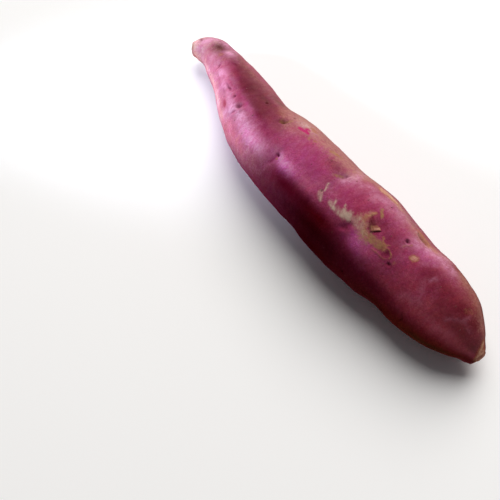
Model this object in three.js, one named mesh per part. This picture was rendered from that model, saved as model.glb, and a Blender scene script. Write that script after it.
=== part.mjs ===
// A purple-skinned sweet potato: one storage root, lying on its side, with its
// hooked stem end towards -X and its blunt tail end towards +X.
//
// The root grew as one piece, so it is one solid. Its skin is a loft: rings of
// points stand square to a gently bending mid-line, and each ring is an oval that
// is a little lobed, with swellings and hollows of its own. Each end closes in
// the small dished scar where the root was snapped off its neighbour. Where the
// root lies on a surface its underside is pressed flat by a fraction of a
// millimetre.
//
// Millimetres, +Z up, the surface it lies on at Z = 0.
import * as THREE from "three";

// ---- Driving dimensions ----

const RINGS_PER_STATION = 4;
const POINTS_PER_RING = 48;
const SCAR_DEPTH = 0.8; // how deep the scar at each end is dished
const FLATTENING = 0.35; // how deep the resting underside is pressed flat
const OVALNESS = 0.94; // height of a middle section over its width
const ROUND_BELOW = 12; // half-widths under this are round, not oval
const TURN_OVER = 0.05; // the share of the mid-line over which a ring's turn is evened

// Stations from the stem end to the tail end. "at" is the middle of the root
// there and "wide" is its half-width.
const STATIONS = {
  stemScar: { at: [-112.6, -0.9, 10.4], wide: 3 },
  hook: { at: [-109.6, 2, 11], wide: 6 },
  knuckle: { at: [-103.2, 5.8, 11.8], wide: 8.3 },
  neck: { at: [-92, 4.6, 12.8], wide: 10.2 },
  collar: { at: [-78, 2.2, 14], wide: 12.6 },
  slope: { at: [-64, -1.8, 15.5], wide: 15.6 },
  shoulder: { at: [-47, -6.2, 17.3], wide: 18.4 },
  upperBody: { at: [-28, -7.4, 19.2], wide: 20.6 },
  middle: { at: [-7, -7.2, 20.4], wide: 21.8 },
  lowerBody: { at: [12, -7.4, 20.9], wide: 22.2 },
  belly: { at: [30, -6.4, 21.8], wide: 23.4 },
  flank: { at: [46, -5.5, 20.7], wide: 21.8 },
  waist: { at: [61, -4.2, 19], wide: 20.4 },
  rump: { at: [76, -3.3, 18.9], wide: 19.8 },
  taper: { at: [90, -2.4, 17.6], wide: 17.3 },
  tail: { at: [101, -2.2, 14.4], wide: 12 },
  nub: { at: [105.6, -2.4, 12.1], wide: 7.7 },
  knob: { at: [108.6, -2.3, 10.7], wide: 5.8 },
  tailScar: { at: [110.6, -2.2, 9.5], wide: 3.6 },
};

// The oval's lobes: how many round the ring, how much they raise it as a share of
// the half-width, where the first one stands, and how far they turn along the root.
const LOBES = [
  { count: 3, share: 0.018, start: 0.5, twist: 2.2 },
  { count: 5, share: 0.009, start: 1.9, twist: -3.1 },
];

// Single swellings (raised) and hollows (a negative raise). "x" is the place along
// the root, "turn" the angle round it in degrees, where 0 is the +Y side and 90 the
// top, and "long" and "wide" say how far each reaches along the root and round it.
// An eye is the dent where a rootlet grew, and its brow the swelling behind it.
const RELIEF = {
  crownHollow: { x: -96, turn: 84, raise: -1.2, long: 4, wide: 4.5 },
  crownBrow: { x: -89, turn: 80, raise: 0.6, long: 4, wide: 6 },
  collarSwelling: { x: -67, turn: 176, raise: 0.4, long: 11, wide: 11 },
  neckHollow: { x: -47, turn: 32, raise: -1.1, long: 10, wide: 12 },
  neckRidge: { x: -62, turn: 112, raise: 1, long: 22, wide: 5.5 },
  neckValley: { x: -66, turn: 74, raise: -0.9, long: 18, wide: 6.5 },
  shoulderEye: { x: -32, turn: 82, raise: -1.3, long: 4.5, wide: 8 },
  shoulderBrow: { x: -24, turn: 48, raise: 1, long: 8, wide: 14 },
  frontEye: { x: -19, turn: 126, raise: -1.7, long: 4.5, wide: 8 },
  frontBrow: { x: -10, turn: 128, raise: 1, long: 7, wide: 10 },
  topEye: { x: 13, turn: 76, raise: -1.2, long: 4.5, wide: 8 },
  topBrow: { x: 21, turn: 74, raise: 0.8, long: 7, wide: 9 },
  bellyEye: { x: 33, turn: 132, raise: -1.4, long: 4.5, wide: 9 },
  bellyBrow: { x: 42, turn: 130, raise: 0.8, long: 7, wide: 10 },
  backGroove: { x: 60, turn: 48, raise: -1.8, long: 8, wide: 4.5 },
  backGrooveLip: { x: 70, turn: 50, raise: 0.8, long: 7, wide: 10 },
  frontKnuckle: { x: 49, turn: 196, raise: 0.7, long: 6, wide: 10 },
  frontNick: { x: 59, turn: 198, raise: -1, long: 5, wide: 10 },
  nubNotch: { x: 101, turn: 36, raise: -1, long: 3.5, wide: 6 },
  nubKnob: { x: 107, turn: 40, raise: 0.4, long: 3, wide: 5 },
  lowBackEye: { x: -38, turn: -28, raise: -1.4, long: 4.5, wide: 8 },
  lowBackBrow: { x: -29, turn: -25, raise: 0.8, long: 7, wide: 10 },
  backEye: { x: 26, turn: -8, raise: -1.3, long: 4.5, wide: 9 },
  backBrow: { x: 35, turn: -6, raise: 0.7, long: 7, wide: 9 },
  lowFrontEye: { x: 4, turn: 212, raise: -1.2, long: 4.5, wide: 8 },
  tailEye: { x: 84, turn: -30, raise: -1.2, long: 5, wide: 7 },
};

// ---- The mid-line and the thickness ----

const stations = Object.values(STATIONS);

const midLine = new THREE.CatmullRomCurve3(
  stations.map(({ at }) => new THREE.Vector3(...at)),
  false,
  "catmullrom",
  0.5,
);

// The square of the half-width is what is smoothed, because a square that falls in
// proportion to the distance from the end gives a round end.
const squaredWidth = new THREE.CatmullRomCurve3(
  stations.map(({ wide }, i) => new THREE.Vector3(i, wide * wide, 0)),
  false,
  "catmullrom",
  0.5,
);

const halfWidth = (u) => Math.sqrt(squaredWidth.getPoint(u).y);

// Half the height of a section: round at the slim ends, flatter in the middle.
function halfHeight(wide) {
  const share = THREE.MathUtils.smoothstep(wide, ROUND_BELOW / 2, ROUND_BELOW);
  return wide * THREE.MathUtils.lerp(1, OVALNESS, share);
}

// ---- The skin ----

const UP = new THREE.Vector3(0, 0, 1);

// How far the lobes raise the skin, as a share of the half-width.
function lobesAt(u, angle) {
  const raise = ({ count, share, start, twist }) =>
    share * Math.cos(count * angle + start + twist * u);
  return LOBES.reduce((sum, lobe) => sum + raise(lobe), 0);
}

// How far the swellings and hollows raise it, in millimetres.
function reliefAt(x, angle, wide) {
  const raise = (spot) => {
    const turned = angle - THREE.MathUtils.degToRad(spot.turn);
    const across = wide * Math.atan2(Math.sin(turned), Math.cos(turned));
    return spot.raise * Math.exp(-(((x - spot.x) / spot.long) ** 2) - (across / spot.wide) ** 2);
  };
  return Object.values(RELIEF).reduce((sum, spot) => sum + raise(spot), 0);
}

// The direction of the root at u. It is evened over a short stretch to either side,
// so that the rings on the inside of the hook stay clear of each other.
function directionAt(u) {
  const before = midLine.getPoint(Math.max(0, u - TURN_OVER));
  const after = midLine.getPoint(Math.min(1, u + TURN_OVER));
  return after.sub(before).normalize();
}

// The point of the skin at u along the root and at an angle round it.
function skinPoint(u, angle) {
  const wide = halfWidth(u);
  const middle = midLine.getPoint(u);
  const along = directionAt(u);
  const side = new THREE.Vector3().crossVectors(UP, along).normalize();
  const above = new THREE.Vector3().crossVectors(along, side);
  const oval = new THREE.Vector3()
    .addScaledVector(side, wide * Math.cos(angle))
    .addScaledVector(above, halfHeight(wide) * Math.sin(angle));
  const raised = oval.length() * (1 + lobesAt(u, angle)) + reliefAt(middle.x, angle, wide);
  return middle.add(oval.setLength(raised));
}

// The bottom of the dished scar at one end, where u is 0 or 1.
function scarPoint(u) {
  const inwards = u === 0 ? SCAR_DEPTH : -SCAR_DEPTH;
  return midLine.getPoint(u).addScaledVector(directionAt(u), inwards);
}

// A closed skin: rings from one scar's rim to the other's, and a point in each scar.
function makeSkin() {
  const ringCount = (stations.length - 1) * RINGS_PER_STATION + 1;
  const positions = [];
  const add = ({ x, y, z }) => positions.push(x, y, z);
  for (let ring = 0; ring < ringCount; ring++) {
    for (let i = 0; i < POINTS_PER_RING; i++) {
      add(skinPoint(ring / (ringCount - 1), (i / POINTS_PER_RING) * 2 * Math.PI));
    }
  }
  add(scarPoint(0));
  add(scarPoint(1));

  const faces = [];
  const stemPoint = ringCount * POINTS_PER_RING;
  const tailPoint = stemPoint + 1;
  const at = (ring, i) => ring * POINTS_PER_RING + (i % POINTS_PER_RING);
  for (let i = 0; i < POINTS_PER_RING; i++) {
    faces.push(stemPoint, at(0, i + 1), at(0, i));
    faces.push(tailPoint, at(ringCount - 1, i), at(ringCount - 1, i + 1));
    for (let ring = 0; ring < ringCount - 1; ring++) {
      const [a, b] = [at(ring, i), at(ring, i + 1)];
      const [c, d] = [at(ring + 1, i + 1), at(ring + 1, i)];
      faces.push(a, b, c, a, c, d);
    }
  }
  const geometry = new THREE.BufferGeometry();
  geometry.setAttribute("position", new THREE.Float32BufferAttribute(positions, 3));
  geometry.setIndex(faces);
  return geometry;
}

// Sets the root down: its box is centred over the origin, and it rests on Z = 0
// with what would reach lower pressed flat.
function setDown(geometry) {
  geometry.computeBoundingBox();
  const { min, max } = geometry.boundingBox;
  geometry.translate(-(min.x + max.x) / 2, -(min.y + max.y) / 2, -min.z - FLATTENING);
  const points = geometry.getAttribute("position");
  for (let i = 0; i < points.count; i++) {
    points.setZ(i, Math.max(0, points.getZ(i)));
  }
  geometry.computeVertexNormals();
  return geometry;
}

const skin = new THREE.MeshStandardMaterial({
  color: 0x8e3257,
  roughness: 0.5,
  metalness: 0,
});

const root = new THREE.Mesh(setDown(makeSkin()), skin);
root.name = "sweet_potato";

const part = new THREE.Group();
part.add(root);

export default part;
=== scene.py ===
# %% [markdown]
# # A purple sweet potato
#
# A sweet potato is a storage root. It grew as one piece, so this scene has one main
# mesh, the skin, and a scatter of small corky lenticels that sit on it. The packed
# solid gives the size, the bends and the big dents. This script gives the rest: the
# small eyes, the creases beside them, the scars, the fine wrinkles and the colours.

# %% Load the solid
import math

import bmesh
import bpy
import numpy as np
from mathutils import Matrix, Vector, noise
from mathutils.bvhtree import BVHTree


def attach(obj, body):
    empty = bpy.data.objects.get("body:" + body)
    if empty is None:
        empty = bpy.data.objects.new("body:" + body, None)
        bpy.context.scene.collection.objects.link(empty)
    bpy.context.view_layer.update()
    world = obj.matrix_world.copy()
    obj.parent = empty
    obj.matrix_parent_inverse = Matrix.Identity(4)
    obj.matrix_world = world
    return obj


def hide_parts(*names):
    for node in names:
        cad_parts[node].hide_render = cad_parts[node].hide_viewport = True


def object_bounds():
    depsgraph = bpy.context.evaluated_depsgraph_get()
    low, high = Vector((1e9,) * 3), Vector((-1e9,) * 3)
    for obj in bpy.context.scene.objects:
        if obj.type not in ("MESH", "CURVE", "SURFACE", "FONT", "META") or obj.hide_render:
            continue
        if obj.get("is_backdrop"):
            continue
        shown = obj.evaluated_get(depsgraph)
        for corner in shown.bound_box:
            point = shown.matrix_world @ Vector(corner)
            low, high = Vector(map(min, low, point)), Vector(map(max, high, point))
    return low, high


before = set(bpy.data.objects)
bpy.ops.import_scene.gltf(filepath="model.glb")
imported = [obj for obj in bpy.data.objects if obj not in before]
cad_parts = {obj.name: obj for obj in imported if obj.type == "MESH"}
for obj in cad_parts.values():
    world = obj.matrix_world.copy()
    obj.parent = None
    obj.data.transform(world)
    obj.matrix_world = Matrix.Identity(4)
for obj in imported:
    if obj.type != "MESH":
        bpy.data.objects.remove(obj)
MM = 0.001
NODE = "sweet_potato"
low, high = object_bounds()
cad_box = [list(low), list(high)]
print("solid, mm:", [round((b - a) / MM, 1) for a, b in zip(low, high)])

# %% [markdown]
# ## The camera
#
# The camera looks down on the root from its front and its stem end. It stands well
# back with a long lens, so the near end isn't blown up. It aims at a point in front of
# the root, which puts the root in the upper right.

# %% Place the camera
CAMERA_TURN = 52.5  # degrees round from the front
CAMERA_HEIGHT = 62  # degrees above the floor
CAMERA_DISTANCE = 547.8 * MM
CAMERA_AIM = Vector((-0.6 * MM, -41.6 * MM, 0))
LENS = 80
NEAR_CLIP = 10 * MM


def direction(turn, height):
    """The unit vector towards a turn round the root and a height above the floor."""
    turn, height = math.radians(turn), math.radians(height)
    return Vector(
        (
            math.sin(turn) * math.cos(height),
            -math.cos(turn) * math.cos(height),
            math.sin(height),
        )
    )


def link(thing):
    bpy.context.scene.collection.objects.link(thing)
    return thing


def look_at(thing, place, target):
    thing.location = place
    thing.rotation_euler = (target - place).to_track_quat("-Z", "Y").to_euler()


camera = link(bpy.data.objects.new("camera", bpy.data.cameras.new("camera")))
camera.data.lens = LENS
camera.data.clip_start = NEAR_CLIP
look_at(camera, CAMERA_AIM + CAMERA_DISTANCE * direction(CAMERA_TURN, CAMERA_HEIGHT), CAMERA_AIM)
bpy.context.scene.camera = camera
bpy.context.scene.view_settings.view_transform = "Standard"
print("camera at, mm:", [round(v / MM) for v in camera.location])

# %% [markdown]
# ## The skin mesh
#
# The solid's facets are 3 mm across, which is too coarse for a close look. A copy of
# it is welded, its triangles are joined back into quads, and two rounds of
# subdivision round it off. That gives a point about every 0.75 mm. A voxel remesh would
# be even finer, but it would lose the quads that follow the root's length.

# %% Weld the copy and round it off
WELD = 0.001 * MM
ROUNDS = 2


def welded_quads(node, name):
    """A welded copy of a node's mesh, with its pairs of triangles joined."""
    shape = bmesh.new()
    shape.from_mesh(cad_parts[node].data)
    bmesh.ops.remove_doubles(shape, verts=shape.verts, dist=WELD)
    bmesh.ops.join_triangles(
        shape, faces=shape.faces, angle_face_threshold=math.pi, angle_shape_threshold=math.pi
    )
    mesh = bpy.data.meshes.new(name)
    shape.to_mesh(mesh)
    shape.free()
    return mesh


def applied(holder):
    """The object's mesh with its modifiers applied. The object is removed."""
    seen = holder.evaluated_get(bpy.context.evaluated_depsgraph_get())
    mesh = bpy.data.meshes.new_from_object(seen)
    bpy.data.objects.remove(holder)
    return mesh


def rounded(mesh, rounds):
    holder = link(bpy.data.objects.new("rounding", mesh))
    finer = holder.modifiers.new("rounder", "SUBSURF")
    finer.levels = finer.render_levels = rounds
    return applied(holder)


skin_mesh = rounded(welded_quads(NODE, "coarse skin"), ROUNDS)
skin_mesh.name = "skin"
print("skin quads:", len(skin_mesh.polygons))

# %% [markdown]
# ## A map of the skin
#
# Every mark on the root is given by two numbers: x, the millimetres along it from the
# middle, and its turn in degrees, where 0 faces the back, 90 is the top and 180 the
# front. The map finds such a place on the mesh. It also tells how far each point of
# the mesh is from a line of places, which is what sculpting and painting need. The
# points are wavered first, because a mark on a root never has a straight edge. The
# marks could also be sculpted by hand, but a list of places can be read and changed.

# %% Define the map
SECTION_STEP = 2  # mm from one section of the root to the next
SLAB = 2.5  # mm to either side of a section whose middle is looked for
STEPS_PER_STOP = 3  # straight steps from one place of a line to the next
TINY = 1e-9  # keeps a line with no length from dividing by nothing
WAVER = {2.6: 0.45, 1.1: 0.2}  # mm across: mm sideways
WAVER_SEED = 5
noise.seed_set(WAVER_SEED)  # left alone, Blender seeds this noise from the clock


def noise_at(points, size):
    """Smooth noise of a size in mm, between -1 and 1, at each point."""
    return np.array([noise.noise(place) for place in (points / size).tolist()])


def wavered(points):
    """The points shifted a little this way and that, so that marks get uneven edges."""
    shifted = points.copy()
    for size, shift in WAVER.items():
        shifted += shift * np.array([noise.noise_vector(p) for p in (points / size).tolist()])
    return shifted


class SkinMap:
    def __init__(self, mesh):
        flat = np.empty(len(mesh.vertices) * 3)
        mesh.vertices.foreach_get("co", flat)
        self.points = flat.reshape(-1, 3) / MM
        mesh.vertex_normals.foreach_get("vector", flat)
        self.normals = flat.reshape(-1, 3).copy()
        self.wavered = wavered(self.points)
        faces = [tuple(face.vertices) for face in mesh.polygons]
        self.tree = BVHTree.FromPolygons(self.points.tolist(), faces)
        self.find_middles()

    def find_middles(self):
        """The middle of each section along the root, and each point's turn round it."""
        x = self.points[:, 0]
        self.sections = np.arange(math.ceil(x.min()), x.max(), SECTION_STEP)
        middles = []
        for section in self.sections:
            slab = self.points[np.abs(x - section) < SLAB]
            middles.append((slab.min(axis=0) + slab.max(axis=0)) / 2)
        self.middles = np.array(middles)
        y = self.points[:, 1] - np.interp(x, self.sections, self.middles[:, 1])
        z = self.points[:, 2] - np.interp(x, self.sections, self.middles[:, 2])
        self.turns = np.degrees(np.arctan2(z, y))

    def place(self, x, turn):
        """The point of the skin at x along the root and a turn round it."""
        y, z = (np.interp(x, self.sections, self.middles[:, axis]) for axis in (1, 2))
        turn = math.radians(turn)
        hit, *_ = self.tree.ray_cast(Vector((x, y, z)), Vector((0, math.cos(turn), math.sin(turn))))
        return np.array(hit)

    def reach(self, line):
        """How far each point is from a line of one or more places, how far along it
        that is from 0 to 1, and how far the point lies towards the tail of it."""
        line = np.array(line, dtype=float)
        stops = np.arange(len(line))
        steps = np.linspace(0, len(line) - 1, max(2, (len(line) - 1) * STEPS_PER_STOP + 1))
        path = [self.place(*(np.interp(s, stops, line[:, i]) for i in (0, 1))) for s in steps]
        away = np.full(len(self.points), np.inf)
        share = np.zeros(len(self.points))
        tailward = np.zeros(len(self.points))
        for i, (start, end) in enumerate(zip(path, path[1:])):
            along = end - start
            k = np.clip((self.wavered - start) @ along / max(along @ along, TINY), 0, 1)
            offset = self.wavered - start - k[:, None] * along
            distance = np.linalg.norm(offset, axis=1)
            nearer = distance < away
            away[nearer] = distance[nearer]
            share[nearer] = (i + k[nearer]) / (len(path) - 1)
            tailward[nearer] = offset[nearer, 0]
        return away, share, tailward

    def blob(self, x, turn, long, wide):
        """A broad soft zone: 1 at a place, fading over a length in mm and a width in
        degrees."""
        round_it = (self.turns - turn + 180) % 360 - 180
        return np.exp(-(((self.points[:, 0] - x) / long) ** 2) - (round_it / wide) ** 2)


def soft(distance, wide):
    """1 at no distance, falling smoothly to nothing past about twice the width."""
    return np.exp(-((distance / wide) ** 2))


def ramp(value, start, end):
    """0 before the start, 1 after the end, and a smooth rise between."""
    share = np.clip((value - start) / (end - start), 0, 1)
    return share * share * (3 - 2 * share)


# %% [markdown]
# ## Where the marks are
#
# The eyes are the dents where fine rootlets grew: a short crease round the root with
# a pit in it, and the skin swells on its tail side. Some pits have no crease. Rubbing
# in the crate left silvery scurf, a fresh nick, a small lifted flap of skin and dried
# tan spots. The marks on the back and the underside are laid out in the same way.

# %% List the marks
# Each crease: its line of places, its width and its depth in mm.
CREASES = {
    "crown": ([(-86.7, 113), (-86.5, 122), (-85.9, 131)], 1, 0.6),
    "neck": ([(-73.2, 121.6), (-69.9, 121.4), (-67.3, 120.2)], 0.85, 0.6),
    "neck fork": ([(-62.4, 122), (-61.4, 114.5)], 0.9, 0.7),
    "collar": ([(-56.6, 124.4), (-54.6, 118.9), (-54, 111)], 1.2, 1),
    "collar fork": ([(-54.6, 120), (-54, 126), (-56.3, 138), (-57, 149)], 0.9, 0.5),
    "red dent": ([(-66.5, 143), (-64, 146), (-62.5, 151)], 1.4, 0.5),
    "shoulder": ([(-34, 84), (-31, 79), (-29.7, 71)], 1.3, 0.5),
    "front": ([(-18.6, 115), (-18, 123), (-18.6, 134), (-21, 147)], 1.2, 0.4),
    "top": ([(9.4, 84), (12.4, 78), (13.1, 72), (12.4, 63)], 1.5, 0.45),
    "belly": ([(30, 131), (32.4, 125), (34.6, 115)], 1.6, 0.8),
    "low back": ([(-38, -40), (-36.8, -28), (-38.5, -14)], 0.8, 0.7),
    "back": ([(24.5, -22), (26.8, -8), (25, 6)], 0.8, 0.7),
    "low front": ([(3, 202), (5, 212), (3.6, 222)], 0.8, 0.7),
    "tail": ([(82.5, -42), (84.6, -30), (83, -17)], 0.8, 0.7),
    "stem back": ([(-78, -20), (-76.6, -8), (-77.5, 6)], 0.7, 0.4),
    "underside": ([(58, 262), (60, 272), (58.5, 283)], 0.8, 0.4),
    "tail front": ([(78, 158), (79.4, 167), (78.2, 177)], 0.6, 0.3),
}
# Each pit: x, turn, width and depth in mm.
PITS = {
    "neck top left": (-82.5, 136, 0.9, 0.3),
    "neck a": (-67.4, 120.2, 1, 0.5),
    "neck b": (-54.8, 119.5, 1.2, 0.6),
    "neck c": (-79.3, 136.5, 0.8, 0.25),
    "neck top": (-46.7, 72, 0.8, 0.5),
    "crown": (-96.7, 78, 2.4, 0.4),
    "crown right": (-83, 86, 2.8, 0.3),
    "shoulder": (-31, 79, 1.4, 1),
    "shoulder back": (-29.8, 60, 0.7, 0.5),
    "front": (-18, 123, 0.85, 1.1),
    "top": (13.1, 73, 0.9, 0.5),
    "by the streaks": (11.7, 113, 0.6, 0.4),
    "below the ring": (58.8, 120, 0.75, 0.8),
    "round": (56.4, 77, 0.85, 1),
    "low back": (-36.8, -28, 1, 1.3),
    "back": (26.8, -8, 1, 1.2),
    "low front": (5, 212, 1, 1.2),
    "tail": (84.6, -30, 1, 1.1),
    "stem back": (-76.6, -8, 0.8, 0.6),
    "front low a": (44, 176, 0.7, 0.6),
    "front low b": (68, 190, 0.8, 0.8),
    "front low c": (-40, 196, 0.8, 0.8),
    "back high a": (-8, 22, 0.7, 0.6),
    "back high b": (78, 12, 0.8, 0.7),
    "tail top": (97, 76, 2.2, 0.3),
    "under a": (-20, 255, 0.7, 0.5),
    "under b": (36, 290, 0.7, 0.5),
}
# The small flap of lifted skin: its hinge and the two ends of its free edge.
FLAP_HINGE = (37, 89.5)
FLAP_EDGE = [(42.3, 108), (45.5, 95.3)]
# The groove and the crust along the back edge of the belly, and the ring left by an
# old blister.
GROOVE = [(55.8, 46.5), (57.5, 46.5), (59.2, 46.5), (61, 47)]
EDGE_CRUST = [(27.2, 45.5), (29.4, 46.5), (32, 45), (34.6, 44), (36.8, 42.5)]
RING = [
    *((49.1, 119.8), (51.3, 118.8), (53.4, 118.9), (55.5, 118.2), (57.1, 115.4), (57.2, 111)),
    *((56.4, 107.6), (54.6, 105), (53.2, 105.8)),
]
RING_MIDDLE = (54.8, 111)
# The scars where the root was broken off: the middle and the radius, in mm.
STEM_SCAR = ((-111.5, 5.1, 9.9), 3.4)
TAIL_SCAR = ((111.9, 3.8, 9), 4.4)
print("creases and pits:", len(CREASES) + len(PITS))

# %% [markdown]
# ## Finer mesh where the marks are
#
# A crease is about a millimetre wide, so the quads near each mark are cut in nine.
# The new points are put on a curve and not on the flat quad. The two ends need none
# of this, because the quads are small there already.

# %% Refine the mesh near the marks
FINE_REACH = 2.3  # mm
CUTS = 2


def refine(mesh, chosen):
    """Cuts each edge of the chosen quads in three."""
    shape = bmesh.new()
    shape.from_mesh(mesh)
    edges = [edge for edge in shape.edges if any(chosen[face.index] for face in edge.link_faces)]
    bmesh.ops.subdivide_edges(
        shape, edges=edges, cuts=CUTS, use_grid_fill=True, smooth=1, smooth_falloff="LINEAR"
    )
    shape.to_mesh(mesh)
    shape.free()


def near_marks(mesh):
    """Which faces have a corner close to a mark."""
    skin_map = SkinMap(mesh)
    lines = [line for line, *_ in CREASES.values()]
    lines += [[(x, turn)] for x, turn, *_ in PITS.values()]
    lines += [GROOVE, RING, [FLAP_HINGE, *FLAP_EDGE], [FLAP_HINGE, FLAP_EDGE[1]]]
    away = np.full(len(skin_map.points), np.inf)
    for line in lines:
        away = np.minimum(away, skin_map.reach(line)[0])
    near = away < FINE_REACH
    return [any(near[corner] for corner in face.vertices) for face in mesh.polygons]


chosen = near_marks(skin_mesh)
refine(skin_mesh, chosen)
print("quads cut in nine:", sum(chosen), "faces now:", len(skin_mesh.polygons))

# %% [markdown]
# ## Sculpting
#
# The marks are pressed into the skin along its own normals. While each one is made,
# the same distances paint it: painted shade darkens the creases and the pits, for
# example. Each kind of paint is a mask from 0 to 1 that the material turns into a colour.

# %% Sculpt the lumps of the skin
skin_map = SkinMap(skin_mesh)
count = len(skin_map.points)
lift = np.zeros(count)
KINDS = ("shade", "cork", "olive", "scurf", "graze", "dusty", "bloom_and_sheen")
paint = {name: np.zeros(count) for name in KINDS}

# The size of each kind of lump in mm, its height, and how much higher it is where the
# root is knobbly.
LUMPS = {10: (0.25, 0.2), 5: (0.12, 0.42), 2.4: (0.05, 0.2)}
KNOBBLY = (-78, 132, 26, 62)  # x and turn, and its reach in mm and in degrees
ACROSS_SHARE = 0.85  # lumps are shorter along the root than round it


def lumps(points, knobbly):
    """Gentle unevenness at each size, in mm, with more of the small sizes where the
    root is knobbly."""
    high = np.zeros(len(points))
    squeeze = np.array([1 / ACROSS_SHARE, 1, 1])
    for size, (raise_by, add_by) in LUMPS.items():
        high += (raise_by + add_by * knobbly) * noise_at(points * squeeze, size)
    return high


def mark(name, mask):
    """Lays a mask over one kind of paint. The stronger of the two stays."""
    np.maximum(paint[name], mask, out=paint[name])


lift += lumps(skin_map.points, skin_map.blob(*KNOBBLY))
print("lumps, mm:", lift.min().round(2), "to", lift.max().round(2))

# %% [markdown]
# An eye's crease is steep on its tail side, where the skin swells into a lip, and
# gentle towards the stem. Its pit is a small hole with a low rim. Painted shade darkens
# the bottom of both. Both are profiles laid along a line, because a texture couldn't
# put each eye in its own place.

# %% Press in the creases and the pits
END_DEPTH = 0.25  # a crease's depth at its ends over its depth in the middle
GENTLE = 1.5  # how much wider its slope towards the stem is
LIP = 0.35  # height of its swollen lip over its depth
PIT_RIM = 0.12  # height of a pit's rim over its depth
RIM_WIDE = 0.8  # and the width of that rim over the pit's
RIM_AWAY = 2  # how many widths a lip or a rim lies from the middle of its mark
CREASE_SHADE, PIT_SHADE = 0.8, 0.9  # width of the dark bottom over the mark's


def add_crease(line, wide, deep):
    """A curved dip, shallow at its ends, with a swollen lip and painted shade at its bottom."""
    away, share, tailward = skin_map.reach(line)
    taper = END_DEPTH + (1 - END_DEPTH) * np.sin(np.pi * share)
    slope = np.where(tailward < 0, GENTLE * wide, wide)
    lift[:] -= deep * taper * soft(away, slope)
    lip = soft(away - RIM_AWAY * wide, wide) * ramp(tailward, 0, wide)
    lift[:] += LIP * deep * taper * lip
    mark("shade", min(1, deep / wide) * taper * soft(away, wide * CREASE_SHADE))


def add_pit(x, turn, wide, deep):
    """A small hole with a low rim and painted shade in it."""
    away, _, _ = skin_map.reach([(x, turn)])
    lift[:] -= deep * soft(away, wide)
    lift[:] += PIT_RIM * deep * soft(away - RIM_AWAY * wide, RIM_WIDE * wide)
    mark("shade", min(1, deep / wide) * soft(away, wide * PIT_SHADE))


for line, wide, deep in CREASES.values():
    add_crease(line, wide, deep)
for x, turn, wide, deep in PITS.values():
    add_pit(x, turn, wide, deep)
print("deepest, mm:", lift.min().round(2))

# %% [markdown]
# The flap is a triangle of skin that was cut along one side and has curled up. It is
# hinged at its point and rises towards its free edge, where the pale flesh shows. A
# gap is left in front of that edge, and a shallow seam down its left side. Painted
# shade darkens the gap, the seam and the left of the flap.

# %% Lift the flap
FLAP_LIFT = 0.6  # mm, at the free edge
FLAP_CURL = 1.5  # over 1, most of the rise is near that edge
GAP_DEPTH = 0.55  # mm
GAP_MIDDLE, GAP_WIDE = 0.25, 0.28  # mm in front of the edge, and mm wide
SEAM_DEPTH, SEAM_WIDE = 0.2, 0.7  # mm
FLESH_MIDDLE, FLESH_WIDE = 0.8, 0.85  # mm behind the edge, and mm wide
OFF_THE_FLAP = 9  # a place so far across and along that nothing reaches it


def flap_map():
    """Places on the flap: across it from -1 to 1, and along it from its free edge at
    0 to its hinge at 1. Also half the width of that edge, and the flap's length."""
    hinge = skin_map.place(*FLAP_HINGE)
    left, right = (skin_map.place(*place) for place in FLAP_EDGE)
    middle = (left + right) / 2
    half = np.linalg.norm(right - left) / 2
    across = (right - left) / (2 * half)
    along = hinge - middle
    along -= (along @ across) * across
    length = np.linalg.norm(along)
    skew = (hinge - middle) @ across / half
    offset = skin_map.points - middle
    v = offset @ along / length**2
    u = offset @ across / half - skew * np.clip(v, 0, 1)
    close = np.linalg.norm(offset, axis=1) < 3 * length
    return np.where(close, u, OFF_THE_FLAP), np.where(close, v, OFF_THE_FLAP), half, length


def between(value, start, end, fade_in, fade_out):
    """1 between start and end, fading to 0 over a length outside each."""
    return ramp(value, start - fade_in, start) * (1 - ramp(value, end, end + fade_out))


u, v, half, length = flap_map()
half_here = np.clip(1 - v, 0.02, 1)  # the triangle narrows towards its hinge
inside = ramp(half_here - np.abs(u), 0, 0.2) * ramp(v, -0.02, 0.02) * (v < 1)
lift += FLAP_LIFT * inside * np.clip(1 - v, 0, 1) ** FLAP_CURL
# The gap is in front of the edge only, and it is widest open on the right.
gap = soft(v * length + GAP_MIDDLE, GAP_WIDE) * (1 - ramp(v, -0.03, 0.01))
gap *= ramp(1.1 - np.abs(u), 0, 0.35) * (0.2 + 0.8 * ramp(u, -0.5, -0.1))
lift -= GAP_DEPTH * gap
seam = soft((u + half_here) * half, SEAM_WIDE) * between(v, 0.1, 0.85, 0.15, 0.15)
lift -= SEAM_DEPTH * seam
# Painted shade in the gap, in the seam and on the left of the flap.
mark("shade", 0.9 * gap)
mark("shade", 0.5 * seam)
mark("shade", 0.3 * inside * ramp(0.5 - u, 0, 0.6) * ramp(v, 0.1, 0.4))
# The pale flesh at the edge, and dried tissue in a band behind it.
flesh = soft(v * length - FLESH_MIDDLE, FLESH_WIDE) * ramp(0.65 - np.abs(u - 0.35), 0, 0.2)
mark("cork", 1.4 * flesh * (v > -0.06))
mark("cork", 0.66 * inside * ramp(u, -0.5, -0.2) * between(v, 0.12, 0.25, 0.07, 0.15))
print("flap, mm:", round(2 * half, 1), "by", round(length, 1))

# %% [markdown]
# Three more marks have profiles of their own: the groove where something pressed on
# the growing root, the dried crust nearer the middle of the same edge, and the ring
# that a blister left.

# %% Add the groove, the crust and the ring
GROOVE_DEPTH, GROOVE_WIDE = 1.2, 1.1  # mm
GROOVE_RIM, RIM_DISTANCE = 0.4, 2.4  # mm high, and mm from the bottom of the groove
CRUST_HIGH, CRUST_WIDE = 0.5, 1.1  # mm
RING_HIGH, RING_WIDE = 0.22, 0.5  # mm
RING_DENT = 0.5  # mm deep inside the ring


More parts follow.
